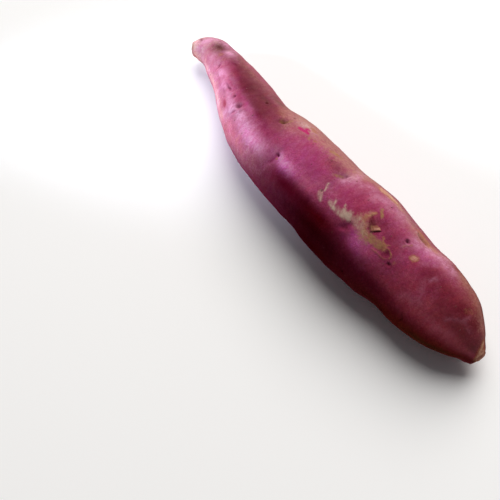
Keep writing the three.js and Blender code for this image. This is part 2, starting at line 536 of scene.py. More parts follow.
def add_groove():
    """A groove that is deepest in its middle, with a low rim, painted shade in it and dried olive
    sides.
    """
    away, share, _ = skin_map.reach(GROOVE)
    depth = 0.3 + 0.7 * np.sin(np.pi * share)
    lift[:] -= GROOVE_DEPTH * depth * soft(away, GROOVE_WIDE)
    lift[:] += GROOVE_RIM * soft(away - RIM_DISTANCE, 1)
    mark("shade", 0.8 * depth * soft(away, 1))
    mark("olive", 0.4 * soft(away, 1.8))


def add_crust():
    """A low ridge of dried tissue. Its colour is with the strokes below."""
    away, _, _ = skin_map.reach(EDGE_CRUST)
    lift[:] += CRUST_HIGH * soft(away, CRUST_WIDE)


def add_ring():
    """A thin corky ring of uneven height, faint where it starts, with a dent inside that painted
    shade darkens.
    """
    away, share, _ = skin_map.reach(RING)
    uneven = 0.8 + 0.2 * np.sin(9 * share + 1)
    uneven *= 0.75 + 0.25 * ramp(share, 0.2, 0.4)
    lift[:] += RING_HIGH * uneven * soft(away, RING_WIDE)
    mark("cork", 0.74 * uneven * soft(away, 0.8))
    away, _, _ = skin_map.reach([RING_MIDDLE])
    lift[:] -= RING_DENT * soft(away, 1.2)
    mark("shade", 0.4 * soft(away, 1.3))


add_groove()
add_crust()
add_ring()

# %% [markdown]
# At each end the root was snapped off, which leaves dried fibres in a shallow dish.
# The solid has the dish. Noise breaks up its outline and raises the fibres.

# %% Dress the two scars
SCAR_UNEVEN = 3.2  # mm across the unevenness of a scar's outline
SCAR_WAVER = 0.9  # mm that it moves the outline
FIBRE = 0.9  # mm across the fibres
FIBRE_HIGH, SCAR_RIM = 0.35, 0.35  # mm


def add_scar(middle, radius):
    """A broken-off end: dried fibres in a shallow dish, inside a raised rim, with painted shade
    between the fibres and a dark line round the rim.
    """
    uneven = noise_at(skin_map.points, SCAR_UNEVEN)
    away = np.linalg.norm(skin_map.wavered - middle, axis=1) + SCAR_WAVER * uneven
    inner = 1 - ramp(away, radius - 0.8, radius)
    fibres = noise_at(skin_map.points, FIBRE)
    lift[:] += SCAR_RIM * soft(away - radius, 0.6) + FIBRE_HIGH * fibres * inner
    mark("cork", (0.85 + 0.3 * uneven) * (1 - ramp(away, radius - 0.6, radius + 1)))
    mark("shade", 0.5 * ramp(-fibres, 0, 0.5) * inner)
    mark("shade", 0.35 * soft(away - radius - 0.8, 0.6))


add_scar(*STEM_SCAR)
add_scar(*TAIL_SCAR)
print("lift, mm:", lift.min().round(2), "to", lift.max().round(2))

# %% [markdown]
# The rest of the marks have no depth of their own and are only painted: silvery scurf,
# olive and tan dried spots, a fresh pink graze, painted shade in the dips and along the
# dark band of the neck, pale lilac patches that are partly waxy bloom and partly a
# painted sheen where the lamps would shine, and broad dust. Each one is a line of
# places, a width in mm and a strength. A strength over 1 gives a mark a broad solid
# middle.

# %% Paint the marks
STROKES = {
    "scurf": [
        ([(11.3, 99), (12.8, 110)], 0.65, 0.8),
        ([(11.8, 114.5), (14.2, 121.5)], 1.3, 0.85),
        ([(19, 115), (21.4, 117.5), (23.8, 118)], 1.35, 0.9),
        ([(20.4, 108), (21.6, 116)], 0.8, 0.85),
        ([(23.6, 113), (25, 115.5)], 0.8, 0.75),
        ([(25.8, 105), (27.2, 113)], 0.7, 0.9),
        ([(27, 115.5), (29.4, 114.5)], 2.1, 1.1),
        ([(29.4, 114.5), (33, 113)], 2, 0.85),
        ([(29.7, 106), (30.6, 112)], 0.7, 0.85),
        ([(34, 112), (34.8, 106)], 1.2, 0.8),
        ([(34.8, 114.5), (37, 114)], 1.3, 0.7),
        ([(36.4, 107), (38.6, 112), (41.5, 114)], 1.7, 0.42),
        ([(-109.5, 140), (-108.6, 156)], 1.6, 0.55),
        ([(-52.5, 2), (-50, 13)], 0.8, 0.8),
        ([(-50.6, 1), (-48.6, 9)], 0.6, 0.7),
        ([(-53.6, 6), (-51.6, 16)], 0.6, 0.6),
        ([(47, -31), (50, -21), (54.5, -15)], 1, 0.75),
        ([(50, -29), (53, -22)], 0.8, 0.7),
        ([(52.5, -14), (57, -10)], 0.6, 0.7),
        ([(-6, 238), (-1, 242), (2, 247)], 1.2, 0.75),
        ([(-3, 236), (1, 240)], 0.7, 0.7),
    ],
    "olive": [
        ([(40.5, 114), (45, 113)], 2.8, 0.66),
        ([(44.5, 113), (45.8, 108.5)], 1.1, 0.7),
        ([(45.5, 112), (48.5, 110.5), (51.3, 107.5)], 2.3, 1),
        ([(37.8, 76), (40.7, 83)], 1.1, 0.8),
        ([(41, 101.5), (43.2, 103)], 1.3, 0.62),
        ([(-14.6, 72)], 1.8, 0.7),
        ([(-3, 58), (2, 54)], 2, 0.7),
        ([(-110, 150), (-108.8, 166)], 1.4, 0.6),
        ([(-32, 80), (-30, 76), (-29.2, 70)], 1.8, 0.62),
        ([(9.5, 84), (12, 78)], 1.6, 0.62),
        ([(53.6, 38), (57, 37), (61, 38)], 1.4, 0.66),
        ([(96, 80), (98, 70)], 2.5, 0.4),
    ],
    "cork": [
        ([(37.4, 86), (37, 90), (36.4, 96)], 1.2, 0.85),
        ([(36.2, 97), (36.6, 103)], 1.9, 0.72),
        ([(37.6, 106), (40.5, 112), (44, 113)], 2, 0.55),
        ([(48.4, 99), (48.8, 100)], 0.8, 0.85),
        ([(49.4, 102), (51, 105.2), (52.4, 108.3)], 0.85, 0.72),
        ([(51.3, 104.4), (53.4, 99)], 0.7, 0.62),
        ([(52.4, 108), (52.7, 109)], 0.8, 0.85),
        ([(60, 115), (60, 113)], 0.9, 0.6),
        ([(56.9, 87), (58.6, 76)], 0.7, 0.66),
        ([(63.5, 89.6), (64.7, 87.4)], 1.8, 1.1),
        (EDGE_CRUST, 1.7, 1.3),
        ([(27.6, 48.5), (29, 50), (30.8, 48.5)], 1.5, 1.1),
        ([(32.6, 47), (35, 46)], 1, 0.9),
        ([(109.6, 46), (111.2, 70), (112, 95), (112.6, 120), (112.8, 150)], 2, 0.95),
        ([(112.4, 49), (113.1, 80), (113.3, 113), (113.2, 160)], 2.4, 1.1),
        ([(-11.8, 69)], 1, 0.85),
        ([(-8.6, 65)], 1, 0.85),
        ([(-3.1, 61)], 1, 0.85),
        ([(-0.1, 55)], 1.1, 0.85),
        ([(-19.5, 52), (-17.5, 52)], 2.2, 0.72),
        ([(-17.1, 128)], 1, 0.75),
        ([(-92, 94)], 2, 0.6),
        ([(54, 38), (57, 39), (61, 40.5), (65, 43)], 3.2, 0.66),
        ([(-66, -35)], 1.2, 0.85),
        ([(8, -30)], 1.3, 0.85),
        ([(64, 222), (66, 228)], 1.2, 0.85),
        ([(-30, 214), (-29, 214)], 1.1, 0.8),
    ],
    "graze": [
        ([(-22.6, 71), (-20.6, 69), (-18.2, 68)], 1.15, 1.2),
        ([(-20.6, 64), (-19.4, 61)], 1, 1.15),
    ],
    # Painted shade in dips and hollows, and along the edges of the dark band of the neck.
    "shade": [
        ([(-110.6, 160), (-108.6, 182), (-106, 190)], 0.8, 0.5),
        ([(-109.5, 98), (-108.4, 106)], 0.7, 0.4),
        ([(51.2, 108.5), (51.6, 111)], 1, 0.3),
        ([(38.2, 93), (38.8, 97), (41, 105)], 0.9, 0.45),
        ([(-82, 84), (-71, 90), (-60, 94)], 2.2, 0.14),
        ([(-44, 101), (-37, 103), (-29.5, 112)], 2.2, 0.22),
        ([(-81.6, 81), (-80.6, 77)], 1, 0.35),
        ([(-71.5, 131), (-69.6, 134)], 0.8, 0.3),
        ([(57.8, 121), (59.6, 118)], 0.7, 0.3),
        ([(71.6, 92), (73.8, 83), (75, 78)], 2, 0.2),
        ([(94.6, 86), (97, 84)], 2.6, 0.24),
        ([(101, 78), (103, 72)], 2.4, 0.22),
        ([(-98.6, 82), (-96.6, 74)], 2.4, 0.24),
    ],
    # Pale lilac patches: waxy bloom, and a painted sheen on the neck, the shoulder, the brows and
    # the bulges, where the lamps would shine.
    "bloom_and_sheen": [
        ([(-107, 110), (-103.7, 70), (-97, 50), (-91, 44)], 2, 0.95),
        ([(-89.5, 70), (-88, 60)], 2.6, 0.95),
        ([(-99, 60), (-94, 54)], 1.6, 0.35),
        ([(-95, 128), (-90, 126)], 3, 0.3),
        ([(-82, 125), (-77, 123)], 2.3, 0.85),
        ([(-75, 128), (-71, 126)], 1.8, 0.6),
        ([(-66, 128), (-58, 134)], 3, 0.48),
        ([(-60, 156), (-57.5, 142), (-58, 131)], 2.2, 1.1),
        ([(-54, 127), (-48, 125), (-42, 126)], 3.4, 1),
        ([(-53, 121), (-45, 119)], 2.4, 0.45),
        ([(-41, 131), (-34, 135), (-28.5, 134)], 3.5, 0.55),
        ([(-15, 121.5), (-12, 121.5), (-7, 124)], 2.2, 0.9),
        ([(14.5, 80), (15.8, 72), (16.2, 64), (15, 44)], 2.6, 0.8),
        ([(31, 71), (36, 61), (44, 54)], 3.6, 0.42),
        ([(59, 68), (64, 59), (70, 56), (78, 52)], 3, 0.75),
        ([(63, 50), (68, 45), (74, 42)], 2.6, 0.6),
        ([(22, 68), (26, 62)], 2.5, 0.5),
        ([(56.5, 86), (58.6, 76)], 2, 0.4),
        ([(68, 87.5), (70.5, 79), (72.8, 72)], 1.1, 0.28),
        ([(75, 101), (77.5, 116), (79.6, 129)], 1.5, 0.14),
        ([(79.6, 129), (76.5, 133), (72.6, 136)], 3, 0.13),
        ([(93.5, 118), (95.5, 107), (98.4, 98), (99.2, 81)], 1.3, 0.17),
        ([(99.5, 93), (101.5, 95), (104, 96)], 1.2, 0.14),
        ([(86, 141), (93, 138), (100, 137)], 3, 0.09),
        ([(76.2, 95), (77.2, 91), (77.6, 88)], 1, 0.45),
        ([(-40, -50), (-20, -42)], 5, 0.5),
        ([(20, -20), (50, -30)], 6, 0.45),
        ([(-70, 200), (-50, 206)], 6, 0.5),
        ([(-96, -10), (-88, -30)], 4, 0.5),
    ],
    "dusty": [
        ([(-34, 46), (-20, 50), (0, 48), (18, 42)], 8.5, 1),
        ([(-28, 84), (-26, 66)], 3, 0.6),
        ([(85, 40), (104, 38)], 8, 0.5),
        ([(-85, 50), (-60, 42)], 5, 0.4),
        ([(36, 104), (38.5, 111), (43, 116)], 3.6, 1.25),
        ([(36.5, 90), (36, 104)], 2, 0.9),
        ([(-60, -40), (-10, -60)], 10, 0.7),
        ([(60, 250), (90, 250)], 10, 0.6),
    ],
}
for name, strokes in STROKES.items():
    for line, wide, strength in strokes:
        away, _, _ = skin_map.reach(line)
        mark(name, strength * soft(away, wide))
print("painted strokes:", sum(len(strokes) for strokes in STROKES.values()))

# %% [markdown]
# ## The tone of the skin
#
# The skin isn't one colour. The tail is a browner maroon, the back edge is dusty tan,
# and the neck is more lilac, partly its own tint and partly a painted sheen. Painted
# highlights brighten the shoulder, the brows and the bulges, and painted shade darkens
# the band along the neck and the dips. The front flank is painted nearly black: painted
# shade, as on a root that lies in the shade of its neighbours. It is also dull: it has
# no wax, so that no gloss greys it. These broad zones are painted one over the other as
# one soft colour.

# %% Paint the tone
TONE = (0.38, 0.04, 0.13)  # where no zone reaches
ALL_ROUND = 999  # degrees, for a zone that goes all the way round
# Each zone: x, turn, its reach along in mm and round in degrees, strength, colour.
ZONES = {
    "back": (0, -60, 200, 70, 0.6, (0.34, 0.07, 0.1)),
    "tail": (104, 110, 38, ALL_ROUND, 1, (0.215, 0.02, 0.036)),
    "tail rim": (96, 26, 18, 12, 0.8, (0.16, 0.03, 0.02)),
    "tail front": (102, 145, 15, 20, 0.85, (0.35, 0.034, 0.062)),
    "stem": (-114, 110, 24, ALL_ROUND, 0.9, (0.5, 0.2, 0.27)),
    "stem tip": (-113, 150, 4, 80, 0.85, (0.8, 0.52, 0.5)),
    "stem under": (-105.5, 188, 4, 26, 0.8, (0.55, 0.2, 0.17)),
    "crown front": (-91, 158, 11, 34, 0.85, (0.4, 0.11, 0.18)),
    # Painted highlight: a pale pink strip along the back edge of the crown.
    "crown back": (-89, 66, 5, 12, 0.75, (0.7, 0.34, 0.44)),
    "crown dimple": (-97, 78, 4.6, 30, 0.97, (0.105, 0.026, 0.022)),
    "crown dimple left": (-97.3, 105, 3.6, 17, 0.8, (0.19, 0.05, 0.07)),
    "crown neck": (-90, 94, 5, 28, 0.76, (0.26, 0.06, 0.11)),
    "stem top": (-108, 100, 3, 14, 0.85, (0.33, 0.13, 0.165)),
    # More of the painted highlight along the back edge of the crown.
    "crown top": (-102, 80, 2.6, 12, 0.5, (0.62, 0.3, 0.38)),
    # The front of the neck and its edge are painted pale lilac and pink: partly the skin's own tint,
    # partly a painted sheen of the lamp by the stem end.
    "neck front": (-62, 147, 40, 32, 0.9, (0.48, 0.11, 0.22)),
    "neck edge": (-70, 171, 30, 16, 0.95, (0.8, 0.32, 0.4)),
    "shoulder low edge": (-54, 174, 7, 9, 0.78, (0.58, 0.075, 0.145)),
    "neck ridge": (-73, 105.5, 9, 7, 0.6, (0.37, 0.11, 0.23)),
    "neck low ridge": (-53, 97.5, 9, 6.5, 0.62, (0.42, 0.11, 0.22)),
    "red dent": (-64.5, 146, 2.4, 7, 0.7, (0.45, 0.05, 0.09)),
    # Painted shade: the dark band along the neck, where it turns away from the light, and a hollow
    # at its back edge.
    "neck band": (-62, 79, 18, 25, 0.94, (0.105, 0.006, 0.02)),
    "neck band top": (-78, 70, 9, 17, 0.78, (0.16, 0.015, 0.036)),
    "neck band back": (-66, 66, 7, 7, 0.5, (0.11, 0.008, 0.022)),
    "neck back": (-70, 57, 22, 14, 0.8, (0.16, 0.022, 0.04)),
    "neck low back": (-44, 43, 8, 12, 0.9, (0.09, 0.01, 0.015)),
    "crown side": (-84.5, 65, 3.6, 8, 0.4, (0.5, 0.12, 0.28)),
    # Painted highlights: the pale lilac sheen on the front of the shoulder and on the brow by the
    # front eye.
    "shoulder front": (-42, 160, 15, 16, 0.9, (0.85, 0.19, 0.34)),
    "shoulder sheen": (-36, 134, 11, 12, 0.92, (0.98, 0.24, 0.56)),
    "front brow": (-10, 124, 8, 9, 0.88, (0.98, 0.17, 0.64)),
    # Painted shade: the dark band goes on along the shoulder.
    "shoulder band": (-46, 91, 18, 20, 0.93, (0.14, 0.016, 0.032)),
    "shoulder ridge": (-50, 107, 9, 6, 0.8, (0.42, 0.07, 0.2)),
    "shoulder eye": (-31, 80, 6, 12, 0.7, (0.16, 0.03, 0.04)),
    "shoulder eye back": (-36, 66, 5, 9, 0.6, (0.2, 0.03, 0.03)),
    "shoulder top": (-36, 69, 4, 7, 0.5, (0.25, 0.04, 0.03)),
    "back edge": (2, 34, 80, 26, 0.8, (0.37, 0.135, 0.15)),
    "shoulder edge": (-26, 50, 7, 14, 0.8, (0.42, 0.17, 0.18)),
    # Painted shade in two dips.
    "neck top dip": (-48, 71, 8, 9, 0.7, (0.11, 0.018, 0.022)),
    "shoulder hollow": (-29, 96, 5, 8, 0.6, (0.2, 0.045, 0.05)),
    "shoulder brow": (-23.5, 82, 4, 11, 0.6, (0.46, 0.14, 0.15)),
    "shoulder middle": (-18, 90, 6, 9, 0.5, (0.47, 0.12, 0.25)),
    # Painted highlight on the back of the shoulder's brow.
    "shoulder brow back": (-21.5, 59, 6, 10, 0.7, (0.72, 0.37, 0.46)),
    "middle": (-5, 103, 20, 24, 0.6, (0.41, 0.05, 0.19)),
    "front middle": (14, 105, 6, 9, 0.7, (0.5, 0.1, 0.22)),
    "front dip": (-20.7, 119.5, 3, 7, 0.6, (0.42, 0.09, 0.2)),
    # Painted shade in a dip.
    "middle dip": (11, 98, 4.5, 9, 0.6, (0.24, 0.036, 0.09)),
    # Painted shade: the front flank and the hollows above it are painted nearly black, the shadow of
    # neighbouring roots in a heap. These zones also leave the wax off.
    "front flank": (26, 186, 64, 47, 0.985, (0.045, 0, 0.001)),
    "low flank": (84, 184, 36, 34, 0.94, (0.128, 0.009, 0.006)),
    "deep flank": (20, 156, 18, 15, 0.85, (0.035, 0, 0)),
    "hollow front": (-4, 142, 12, 12, 0.85, (0.13, 0, 0.012)),
    "hollow belly": (20, 141, 15, 11.5, 0.92, (0.09, 0, 0.002)),
    "tail edge": (95, 42, 25, 20, 0.7, (0.3, 0.07, 0.06)),
    "tail under": (95, 186, 17, 12, 0.85, (0.05, 0.013, 0.006)),
    "belly": (36, 100, 10, 14, 0.6, (0.42, 0.03, 0.1)),
    "belly back": (44, 60, 20, 12, 0.7, (0.44, 0.08, 0.19)),
    "edge crust": (33, 43, 7, 6, 0.8, (0.82, 0.4, 0.34)),
    # Painted shade in the hollow beside the top eye.
    "top hollow": (6, 75, 8, 11, 0.65, (0.18, 0.026, 0.045)),
    "middle front": (1, 120, 9, 8, 0.64, (0.62, 0.11, 0.27)),
    "top brow": (15, 78, 5, 10, 0.6, (0.5, 0.13, 0.26)),
    # Painted highlight on the bulge behind the top eye, and painted shade in the gap in front of it.
    "top brow back": (15.5, 68, 3.5, 6, 0.5, (0.6, 0.28, 0.34)),
    "brow gap": (12, 77, 3, 9, 0.8, (0.215, 0.04, 0.085)),
    "belly front": (42.3, 127, 6.8, 9, 0.97, (0.56, 0.085, 0.43)),
    # Painted shade in the belly's crease.
    "belly crease": (34, 127, 2.4, 6, 0.75, (0.14, 0.008, 0.025)),
    "waist": (65, 73, 7, 13, 0.7, (0.5, 0.08, 0.24)),
    "belly low top": (53.5, 87, 5, 8, 0.65, (0.25, 0.03, 0.09)),
    "ring side": (49.8, 94.5, 3, 6, 0.5, (0.16, 0.02, 0.045)),
    "below the ring": (60.8, 101, 3.2, 9, 0.5, (0.42, 0.06, 0.17)),
    "belly top": (44, 86, 8, 10, 0.8, (0.235, 0.022, 0.07)),
    "belly low": (46, 127, 10, 10, 0.7, (0.55, 0.08, 0.2)),
    "lower front": (88, 143, 30, 14, 0.7, (0.45, 0.042, 0.085)),
    "waist edge": (60, 48, 14, 12, 0.8, (0.52, 0.2, 0.22)),
    "rump": (80, 90, 12, 17, 0.62, (0.165, 0.011, 0.03)),
    "rump back": (74, 62, 10, 12, 0.6, (0.42, 0.08, 0.18)),
    "rump front": (80, 120, 9, 10, 0.5, (0.42, 0.05, 0.1)),
    "flap": (40.8, 97.5, 3, 7.5, 0.88, (0.16, 0.028, 0.038)),
    # More painted shade on the front flank, at its edge and in the hollow above it.
    "flank edge": (28, 161, 34, 15, 0.6, (0.035, 0, 0.001)),
    "flank low edge": (58, 158, 18, 13, 0.55, (0.1, 0.002, 0.012)),
    "flank hollow": (10, 139, 9, 9, 0.6, (0.06, 0, 0.002)),
    "flank bottom": (62, 185, 12, 14, 0.62, (0.045, 0.004, 0.001)),
}
# The zones of painted shade on the front flank also leave the wax off.
DULL = ("front flank", "low flank", "deep flank", "hollow front", "hollow belly", "flank edge")
WAX_EDGE = (0.35, 0.9)  # the share of undulled skin where the wax starts, and where it is whole
OFF_THE_FLOOR = (0.5, 1.5)  # mm up, where the raised pores start, and where all of them are there
tone = np.tile(np.array(TONE), (count, 1))
paint["waxy"] = np.ones(count)
for name, (x, turn, long, wide, strength, colour) in ZONES.items():
    weight = strength * skin_map.blob(x, turn, long, wide)
    tone += weight[:, None] * (np.array(colour) - tone)
    if name in DULL:
        paint["waxy"] *= 1 - weight
paint["waxy"] = ramp(paint["waxy"], *WAX_EDGE)
paint["pores"] = paint["waxy"] * ramp(skin_map.points[:, 2], *OFF_THE_FLOOR)
print("zones of tone:", len(ZONES))

# %% [markdown]
# All the lifts are added at once, along the normals that the skin had before, so no
# mark bends another. The paint goes into the mesh as attributes, which the material
# reads. They follow the surface and need neither a UV map nor an image.

# %% Move the points and store the paint
def finish_mesh(mesh):
    """Moves the points of the mesh, but not out of the solid's box, and gives them
    their paint."""
    points = skin_map.points + lift[:, None] * skin_map.normals
    box_low, box_high = (np.array(corner) / MM for corner in cad_box)
    points = np.clip(points, box_low, box_high)
    mesh.vertices.foreach_set("co", (points * MM).ravel())
    for name, mask in paint.items():
        values = mesh.attributes.new(name, "FLOAT", "POINT")
        values.data.foreach_set("value", np.clip(mask, 0, 1).astype(np.float32))
    colours = mesh.attributes.new("tone", "FLOAT_COLOR", "POINT")
    rgba = np.hstack([np.clip(tone, 0, 1), np.ones((count, 1))])
    colours.data.foreach_set("color", rgba.astype(np.float32).ravel())
    mesh.polygons.foreach_set("use_smooth", [True] * len(mesh.polygons))
    mesh.update()


finish_mesh(skin_mesh)
print("skin points:", count)

# %% [markdown]
# ## Building blocks for the finish
#
# The material is put together from a few node groups. Each one reads the object's own
# coordinates in millimetres, so its sizes are real sizes. Short helpers keep the trees
# readable: each adds one node and gives back its output.

# %% Helpers for nodes
def add_node(tree, kind, **settings):
    node = tree.nodes.new(kind)
    for name, value in settings.items():
        setattr(node, name, value)
    return node


def feed(tree, value, socket):
    """Sets a socket to a value, or links it to another socket."""
    if isinstance(value, bpy.types.NodeSocket):
        tree.links.new(value, socket)
    else:
        socket.default_value = value


def coordinates(tree, size, stretch=(1, 1, 1), turn=0.0):
    """The object's coordinates, scaled so that a pattern of size mm becomes 1, and
    turned about the vertical."""
    place = add_node(tree, "ShaderNodeTexCoord")
    scaled = add_node(tree, "ShaderNodeMapping", vector_type="TEXTURE")
    scaled.inputs["Scale"].default_value = [MM * size * s for s in stretch]
    scaled.inputs["Rotation"].default_value = (0, 0, turn)
    tree.links.new(place.outputs["Object"], scaled.inputs["Vector"])
    return scaled.outputs["Vector"]


def noise_of(tree, size, stretch=(1, 1, 1), turn=0.0, detail=3, rough=0.55, warp=0.0):
    """Noise of a size in mm. It is round 0.5, and seldom leaves 0.3 to 0.7."""
    pattern = add_node(tree, "ShaderNodeTexNoise")
    pattern.inputs["Scale"].default_value = 1
    pattern.inputs["Detail"].default_value = detail
    pattern.inputs["Roughness"].default_value = rough
    pattern.inputs["Distortion"].default_value = warp
    tree.links.new(coordinates(tree, size, stretch, turn), pattern.inputs["Vector"])
    return pattern.outputs["Fac"]


def maths(tree, operation, a, b):
    node = add_node(tree, "ShaderNodeMath", operation=operation)
    feed(tree, a, node.inputs[0])
    feed(tree, b, node.inputs[1])
    return node.outputs[0]


def times(tree, a, b):
    return maths(tree, "MULTIPLY", a, b)


def plus(tree, a, b):
    return maths(tree, "ADD", a, b)


def spread(tree, value, start, end, low=0.0, high=1.0):
    """Maps start..end smoothly to low..high."""
    node = add_node(tree, "ShaderNodeMapRange", interpolation_type="SMOOTHSTEP")
    feed(tree, value, node.inputs["Value"])
    for name, number in (("From Min", start), ("From Max", end), ("To Min", low), ("To Max", high)):
        feed(tree, number, node.inputs[name])
    return node.outputs["Result"]


def mix(tree, share, a, b, blend="MIX"):
    """Colour a, with a share of colour b over it."""
    node = add_node(tree, "ShaderNodeMix", data_type="RGBA", blend_type=blend)
    colours = [socket for socket in node.inputs if socket.type == "RGBA"]
    feed(tree, share, node.inputs["Factor"])
    feed(tree, a, colours[0])
    feed(tree, b, colours[1])
    return next(socket for socket in node.outputs if socket.type == "RGBA")


def tinted(tree, colour, tint):
    return mix(tree, 1.0, colour, tint, "MULTIPLY")


def new_group(name, inputs, outputs):
    """An empty node group with named float inputs and outputs."""
    tree = bpy.data.node_groups.new(name, "ShaderNodeTree")
    for label, value in inputs.items():
        socket = tree.interface.new_socket(label, in_out="INPUT", socket_type="NodeSocketFloat")
        socket.default_value = value
    for label in outputs:
        tree.interface.new_socket(label, in_out="OUTPUT", socket_type="NodeSocketFloat")
    start = add_node(tree, "NodeGroupInput")
    end = add_node(tree, "NodeGroupOutput")
    return tree, start.outputs, end.inputs


def use(tree, group, **values):
    """Places a group in a tree with its own values, and gives its outputs."""
    node = add_node(tree, "ShaderNodeGroup", node_tree=group)
    for label, value in values.items():
        feed(tree, value, node.inputs[label])
    return node.outputs


def new_material(name):
    """A new material, its tree and the shader in it."""
    material = bpy.data.materials.new(name)
    material.use_nodes = True
    return material, material.node_tree, material.node_tree.nodes["Principled BSDF"]


def bump_from(tree, height, shader):
    """Gives the shader a relief from a height in mm."""
    bump = add_node(tree, "ShaderNodeBump")
    bump.inputs["Strength"].default_value = 1
    bump.inputs["Distance"].default_value = MM
    feed(tree, height, bump.inputs["Height"])
    feed(tree, bump.outputs["Normal"], shader.inputs["Normal"])


# %% [markdown]
# **Mottle.** The pigment of the skin is uneven at several sizes: soft clouds over
# centimetres, darker patches, blotches that run round the root as its growth lines do,
# and fine flecks of a millimetre. Where the root was rubbed its skin is paler, and dry
# dust clings to it in spots. Each pattern is noise with its contrast raised.

# %% Build the mottle group
MOTTLE = {
    "Clouds": dict(size=11, detail=3, rough=0.6, warp=0.5),
    "Blotches": dict(size=4, stretch=(0.7, 1.7, 1.7), detail=4, rough=0.7, warp=0.5),
    "Flecks": dict(size=0.8, detail=3, rough=0.7),
    "Rubbed": dict(size=5, stretch=(0.8, 1.2, 1.2), detail=5, rough=0.8, warp=0.3),
    "Dark": dict(size=7, stretch=(0.9, 1.2, 1.2), detail=5, rough=0.72, warp=0.4),
    "Dust": dict(size=2.3, stretch=(0.8, 1.4, 1.4), detail=4, rough=0.75, warp=0.3),
}
CONTRAST = (0.34, 0.66)  # the noise that becomes 0, and the noise that becomes 1
mottle_group, _, out = new_group("mottle", {}, MOTTLE)
for name, settings in MOTTLE.items():
    pattern = noise_of(mottle_group, **settings)
    feed(mottle_group, spread(mottle_group, pattern, *CONTRAST), out[name])

# %% [markdown]
# **Ragged edge.** A painted mask fades softly. Dried skin tissue doesn't: it ends in
# small broken bits. Noise of a given size is added to the mask before it is cut off at
# a half, and coarser noise wears the mark through in patches. Scurf gets an edge of its
# own, which is drawn out slantwise, the way the root was rubbed.

# %% Build the ragged edge groups
RUB_TURN = math.radians(38)
PATCH_SIZE = 1.7  # of the worn patches over that of the bits
PATCH_NOISE = (0.38, 0.6)  # the noise where a patch is worn through and where it is whole


def ragged_edge(name, size, stretch=(1, 1, 1), turn=0.0, softness=0.3):
    inputs = {"Mask": 0.0, "Fray": 0.5, "Patchy": 0.4}
    tree, inputs, out = new_group(name, inputs, ("Mask",))
    bits = noise_of(tree, size, stretch, turn=turn, detail=4, rough=0.65)
    bits = times(tree, maths(tree, "SUBTRACT", bits, 0.5), inputs["Fray"])
    broken = plus(tree, inputs["Mask"], bits)
    broken = spread(tree, broken, 0.5 - softness, 0.5 + softness)
    patches = noise_of(tree, PATCH_SIZE * size, stretch, turn=turn, detail=3)
    worn = times(tree, spread(tree, patches, *PATCH_NOISE, 1, 0), inputs["Patchy"])
    feed(tree, times(tree, broken, maths(tree, "SUBTRACT", 1.0, worn)), out["Mask"])
    return tree


ragged_group = ragged_edge("ragged edge", 0.9)
streaky_group = ragged_edge("streaky edge", 1.3, (0.75, 2.2, 2.2), RUB_TURN, 0.42)

# %% [markdown]
# **Relief.** Two heights in millimetres are added up: the fine wrinkles that run round
# the root, stronger in some places than in others, and a leathery grain.

# %% Build the relief group
relief_group, inputs, out = new_group("relief", {"Wrinkles": 0.05, "Grain": 0.03}, ("Height",))
wrinkles = noise_of(relief_group, 2.4, stretch=(0.7, 1.7, 1.7), detail=4, rough=0.6, warp=0.6)
where = spread(relief_group, noise_of(relief_group, 16, detail=2), 0.35, 0.65, 0.25, 1)
wrinkles = times(relief_group, times(relief_group, wrinkles, where), inputs["Wrinkles"])
grain = times(relief_group, noise_of(relief_group, 1.2, detail=4, rough=0.6), inputs["Grain"])
feed(relief_group, plus(relief_group, wrinkles, grain), out["Height"])

# %% [markdown]
# ## The skin material
#
# A clean root has a thin, dry skin with a little wax on it: a soft broad gloss and no
# mirror shine. The skin itself gets no shine, and a rough, weak coat stands for the
# wax, so a painted mask can leave it off the dull flank, the scurf and the scars. The
# tone comes first, then the mottle, then each painted mark over it.

# %% Choose the colours
CORK_TAN = (0.36, 0.15, 0.085, 1)
FLESH_CREAM = (0.6, 0.33, 0.22, 1)
# The pale lilac of the waxy bloom, which also serves as painted sheen.
BLOOM_AND_SHEEN = (0.6, 0.26, 0.4, 1)
SHADED = (0.22, 0.08, 0.13, 1)  # what shade multiplies the colour by
# How much each kind of mottle tints the tone, and what it multiplies it by.
TONE_TINTS = {
    "Clouds": (0.62, (1.05, 0.72, 0.58, 1)),
    "Blotches": (0.45, (0.88, 0.8, 1.4, 1)),
    "Dark": (0.58, (0.6, 0.4, 0.45, 1)),
    "Flecks": (0.9, (0.7, 0.5, 0.55, 1)),
}
# The same for what then pales it.
PALE_TINTS = {"Rubbed": (0.5, (1.25, 2.1, 1.6, 1)), "Dust": (0.55, (1.12, 1.9, 1.25, 1))}
# Each kind of mark: its edge, how frayed and how patchy that is, and how well it covers.
EDGES = {
    "dusty": (ragged_group, 1.2, 0.7, 0.7),
    "olive": (ragged_group, 0.8, 0.35, 0.8),
    "cork": (ragged_group, 0.8, 0.35, 0.85),
    "scurf": (streaky_group, 0.9, 0.55, 0.85),
    "graze": (ragged_group, 0.5, 0.1, 1),
}
COLOURS = {
    "dusty": (0.42, 0.19, 0.155, 1),
    "olive": (0.33, 0.18, 0.075, 1),
    "scurf": (0.56, 0.42, 0.33, 1),
    "graze": (0.42, 0.016, 0.115, 1),
}

# %% Build the skin material
WRINKLE_HIGH, GRAIN_HIGH = 0.1, 0.26  # mm
FLAKE_HIGH, CRUST_GRAIN = 0.04, 0.07  # mm, on scurf and on cork
ROUGH = (0.46, 0.56)  # of the waxy skin
COAT_WEIGHT, COAT_ROUGHNESS = 0.5, 0.55


def painted(tree, name):
    return add_node(tree, "ShaderNodeAttribute", attribute_name=name).outputs["Fac"]


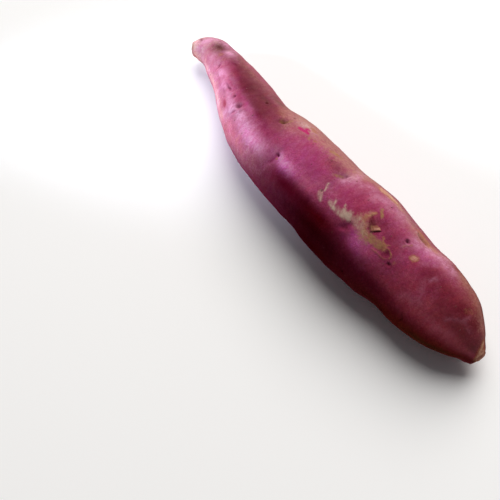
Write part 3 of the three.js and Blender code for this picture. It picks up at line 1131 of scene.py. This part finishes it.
def mottled_tone(tree, mottle):
    tone = colour = add_node(tree, "ShaderNodeAttribute", attribute_name="tone").outputs["Color"]
    for name, (share, tint) in TONE_TINTS.items():
        colour = mix(tree, times(tree, mottle[name], share), colour, tinted(tree, tone, tint))
    for name, (share, tint) in PALE_TINTS.items():
        colour = mix(tree, times(tree, mottle[name], share), colour, tinted(tree, colour, tint))
    # The waxy bloom and the painted sheen, broken up by the rubbed mottle.
    bloom_and_sheen = spread(tree, mottle["Rubbed"], 0, 1, 0.2, 0.95)
    return mix(tree, times(tree, painted(tree, "bloom_and_sheen"), bloom_and_sheen), colour, BLOOM_AND_SHEEN)


def cork_colour(tree, mottle):
    """Tan, with the cream of dried flesh where the cork is painted strongest."""
    colour = mix(tree, spread(tree, painted(tree, "cork"), 0.72, 0.95), CORK_TAN, FLESH_CREAM)
    return mix(tree, times(tree, mottle["Flecks"], 0.4), colour, CORK_TAN)


def skin_material():
    material, tree, shader = new_material("sweet potato skin")
    mottle = use(tree, mottle_group)
    colour = mottled_tone(tree, mottle)
    colours = COLOURS | {"cork": cork_colour(tree, mottle)}
    masks = {}
    for name, (edge, fray, patchy, cover) in EDGES.items():
        masks[name] = use(tree, edge, Mask=painted(tree, name), Fray=fray, Patchy=patchy)["Mask"]
        colour = mix(tree, times(tree, masks[name], cover), colour, colours[name])
    # Painted shade darkens the colour.
    shade = painted(tree, "shade")
    colour = mix(tree, shade, colour, tinted(tree, colour, SHADED))
    feed(tree, colour, shader.inputs["Base Color"])

    dry = maths(tree, "MAXIMUM", maths(tree, "MAXIMUM", masks["cork"], masks["scurf"]), shade)
    rough = spread(tree, mottle["Clouds"], 0, 1, *ROUGH)
    for mask, rougher in ((masks["dusty"], 0.12), (dry, 0.22), (painted(tree, "bloom_and_sheen"), -0.1)):
        rough = plus(tree, rough, times(tree, mask, rougher))
    feed(tree, rough, shader.inputs["Roughness"])
    shader.inputs["Specular IOR Level"].default_value = 0
    waxy = times(tree, painted(tree, "waxy"), spread(tree, dry, 0, 0.3, 1, 0))
    feed(tree, times(tree, waxy, COAT_WEIGHT), shader.inputs["Coat Weight"])
    shader.inputs["Coat Roughness"].default_value = COAT_ROUGHNESS

    height = use(tree, relief_group, Wrinkles=WRINKLE_HIGH, Grain=GRAIN_HIGH)["Height"]
    flakes = times(tree, masks["scurf"], FLAKE_HIGH)
    crust = times(tree, times(tree, masks["cork"], mottle["Flecks"]), CRUST_GRAIN)
    bump_from(tree, plus(tree, height, plus(tree, flakes, crust)), shader)
    return material


skin_finish = skin_material()
skin_mesh.materials.clear()
skin_mesh.materials.append(skin_finish)
skin = link(bpy.data.objects.new("skin", skin_mesh))
print("skin nodes:", len(skin_finish.node_tree.nodes))

# %% [markdown]
# ## The lenticels
#
# Lenticels are the pores through which the root breathes. Each one shows as a tiny
# corky dash, raised by about a tenth of a millimetre, and longer round the root than
# along it. There are dozens, so geometry nodes scatter them over the skin. They keep
# off the dull flank, and off the underside, where they would lift the root.

# %% Build the scatter
LENTICEL_SPACING = 8.5 * MM  # from any one to the next, at least
LENTICELS_PER_SQUARE_METRE = 6500
LENTICEL_HALF = 0.5 * MM
LENTICEL_SEED = 4
# Half the length and the width of the smallest and the largest, and their heights, as
# shares of that half length.
LEAST = (0.6, 0.35, 0.14)
MOST = (1.4, 0.6, 0.24)
DOME_SEGMENTS, DOME_RINGS = 8, 4
ALONG_THE_ROOT = (1, 0, 0)


def lenticel_tree():
    """The tree that strews domes over a skin, each with its long side round the root."""
    tree = bpy.data.node_groups.new("lenticels", "GeometryNodeTree")
    sockets = {
        "Skin": "Geometry", "Spacing": "Float", "Density": "Float", "Half Length": "Float",
        "Seed": "Int", "Finish": "Material",
    }
    for label, kind in sockets.items():
        tree.interface.new_socket(label, in_out="INPUT", socket_type="NodeSocket" + kind)
    tree.interface.new_socket("Lenticels", in_out="OUTPUT", socket_type="NodeSocketGeometry")
    start = add_node(tree, "NodeGroupInput").outputs
    end = add_node(tree, "NodeGroupOutput").inputs

    spots = add_node(tree, "GeometryNodeDistributePointsOnFaces", distribute_method="POISSON")
    feed(tree, start["Skin"], spots.inputs["Mesh"])
    feed(tree, start["Spacing"], spots.inputs["Distance Min"])
    feed(tree, start["Density"], spots.inputs["Density Max"])
    feed(tree, start["Seed"], spots.inputs["Seed"])
    pores = add_node(tree, "GeometryNodeInputNamedAttribute", data_type="FLOAT")
    pores.inputs["Name"].default_value = "pores"
    feed(tree, pores.outputs["Attribute"], spots.inputs["Density Factor"])

    upright = add_node(tree, "FunctionNodeAlignRotationToVector", axis="Z")
    feed(tree, spots.outputs["Normal"], upright.inputs["Vector"])
    round_it = add_node(tree, "ShaderNodeVectorMath", operation="CROSS_PRODUCT")
    feed(tree, spots.outputs["Normal"], round_it.inputs[0])
    feed(tree, ALONG_THE_ROOT, round_it.inputs[1])
    turned = add_node(tree, "FunctionNodeAlignRotationToVector", axis="X", pivot_axis="Z")
    feed(tree, upright.outputs["Rotation"], turned.inputs["Rotation"])
    feed(tree, round_it.outputs["Vector"], turned.inputs["Vector"])

    dome = add_node(tree, "GeometryNodeMeshUVSphere")
    dome.inputs["Segments"].default_value = DOME_SEGMENTS
    dome.inputs["Rings"].default_value = DOME_RINGS
    feed(tree, start["Half Length"], dome.inputs["Radius"])
    sizes = add_node(tree, "FunctionNodeRandomValue", data_type="FLOAT_VECTOR")
    sizes.inputs["Min"].default_value = LEAST
    sizes.inputs["Max"].default_value = MOST
    feed(tree, start["Seed"], sizes.inputs["Seed"])
    copies = add_node(tree, "GeometryNodeInstanceOnPoints")
    feed(tree, spots.outputs["Points"], copies.inputs["Points"])
    feed(tree, dome.outputs["Mesh"], copies.inputs["Instance"])
    feed(tree, turned.outputs["Rotation"], copies.inputs["Rotation"])
    feed(tree, sizes.outputs["Value"], copies.inputs["Scale"])

    real = add_node(tree, "GeometryNodeRealizeInstances")
    feed(tree, copies.outputs["Instances"], real.inputs["Geometry"])
    smooth = add_node(tree, "GeometryNodeSetShadeSmooth")
    feed(tree, real.outputs["Geometry"], smooth.inputs["Geometry"])
    coloured = add_node(tree, "GeometryNodeSetMaterial")
    feed(tree, smooth.outputs["Geometry"], coloured.inputs["Geometry"])
    feed(tree, start["Finish"], coloured.inputs["Material"])
    feed(tree, coloured.outputs["Geometry"], end["Lenticels"])
    return tree


# %% Scatter the lenticels
CORK_BROWN = (0.2, 0.045, 0.055, 1)
CORK_DARK = (0.12, 0.025, 0.035, 1)
CORK_PALE = (0.26, 0.1, 0.08, 1)


def lenticel_material():
    material, tree, shader = new_material("lenticel cork")
    mottle = use(tree, mottle_group)
    colour = mix(tree, mottle["Clouds"], CORK_BROWN, CORK_DARK)
    colour = mix(tree, times(tree, mottle["Flecks"], 0.5), colour, CORK_PALE)
    feed(tree, colour, shader.inputs["Base Color"])
    feed(tree, spread(tree, mottle["Flecks"], 0, 1, 0.55, 0.75), shader.inputs["Roughness"])
    bump_from(tree, use(tree, relief_group, Wrinkles=0.02, Grain=0.04)["Height"], shader)
    return material


def scatter_lenticels():
    holder = link(bpy.data.objects.new("scatter", skin_mesh.copy()))
    scatter = holder.modifiers.new("scatter", "NODES")
    scatter.node_group = lenticel_tree()
    values = {
        "Spacing": LENTICEL_SPACING,
        "Density": LENTICELS_PER_SQUARE_METRE,
        "Half Length": LENTICEL_HALF,
        "Seed": LENTICEL_SEED,
        "Finish": lenticel_material(),
    }
    for item in scatter.node_group.interface.items_tree:
        if item.name in values:
            scatter[item.identifier] = values[item.name]
    mesh = applied(holder)
    mesh.name = "lenticels"
    return link(bpy.data.objects.new("lenticels", mesh))


lenticels = scatter_lenticels()
print("lenticel faces:", len(lenticels.data.polygons))

# %% [markdown]
# ## The floor and the lights
#
# The root lies on a pale floor under soft studio light. The key is a large warm lamp
# behind the root, which gives its back edge a pale rim and leaves the front flank dark.
# It is kept out of the gloss, which comes from a smaller, lower lamp beside it. A small
# cool one stands near the stem end and puts a lilac sheen on the neck, and a faint sky
# fills the shadows. The camera doesn't see the lamps.

# %% Lay the floor
FLOOR_REACH = 4  # metres to each side
FLOOR_COLOUR = (0.955, 0.965, 0.98, 1)


def make_floor():
    material, _, shader = new_material("pale paper")
    shader.inputs["Base Color"].default_value = FLOOR_COLOUR
    shader.inputs["Roughness"].default_value = 0.9
    shader.inputs["Specular IOR Level"].default_value = 0.1
    mesh = bpy.data.meshes.new("floor")
    corners = [(-1, -1), (1, -1), (1, 1), (-1, 1)]
    mesh.from_pydata([(x * FLOOR_REACH, y * FLOOR_REACH, 0) for x, y in corners], [], [(0, 1, 2, 3)])
    mesh.materials.append(material)
    floor = link(bpy.data.objects.new("floor", mesh))
    floor.visible_glossy = False  # so its glare stays off the flanks of the root
    return floor


make_floor()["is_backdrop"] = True

# %% Hang the lights
ROOT_MIDDLE = Vector((0, 0, 20 * MM))
ROOT_NECK = Vector((-81 * MM, 0, 15 * MM))


def broad_lamp(name, size):
    lamp = bpy.data.lights.new(name, "AREA")
    lamp.shape = "DISK"
    lamp.size = size
    return lamp


def narrow_lamp(name, size, cone):
    """A lamp whose light stays within a soft cone, in degrees."""
    lamp = bpy.data.lights.new(name, "SPOT")
    lamp.shadow_soft_size = size / 2
    lamp.spot_size = math.radians(cone)
    lamp.spot_blend = 1
    return lamp


def hang(lamp, target, turn, height, distance, power, colour, glossy=True):
    """Hangs a lamp a distance in metres from its target, and gives it its watts."""
    lamp.energy = power
    lamp.color = colour
    light = link(bpy.data.objects.new(lamp.name, lamp))
    look_at(light, target + distance * direction(turn, height), target)
    light.visible_camera = False
    light.visible_glossy = glossy


def fill_light(colour, strength):
    world = bpy.data.worlds.new("studio")
    world.use_nodes = True
    background = world.node_tree.nodes["Background"]
    background.inputs["Color"].default_value = colour
    background.inputs["Strength"].default_value = strength
    bpy.context.scene.world = world


fill_light((0.95, 0.97, 1, 1), 0.1)
hang(
    broad_lamp("key", 2.8), ROOT_MIDDLE, turn=217, height=54, distance=2.4, power=79,
    colour=(1, 0.97, 0.93), glossy=False,
)
hang(
    broad_lamp("back", 0.8), ROOT_MIDDLE, turn=205, height=26, distance=1, power=1.6,
    colour=(1, 0.95, 0.93),
)
hang(
    narrow_lamp("window", 0.08, 27), ROOT_NECK, turn=-38, height=20, distance=0.3, power=6.6,
    colour=(0.78, 0.84, 1),
)
print("lamps:", len(bpy.data.lights))

# %% [markdown]
# ## Hand over
#
# Both meshes ride the one body. The skin takes the solid's place.

# %% Tie the pieces to the frame
for piece in (skin, lenticels):
    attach(piece, "root")
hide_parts(NODE)
low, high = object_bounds()
print("visual, mm:", [round((b - a) / MM, 1) for a, b in zip(low, high)])
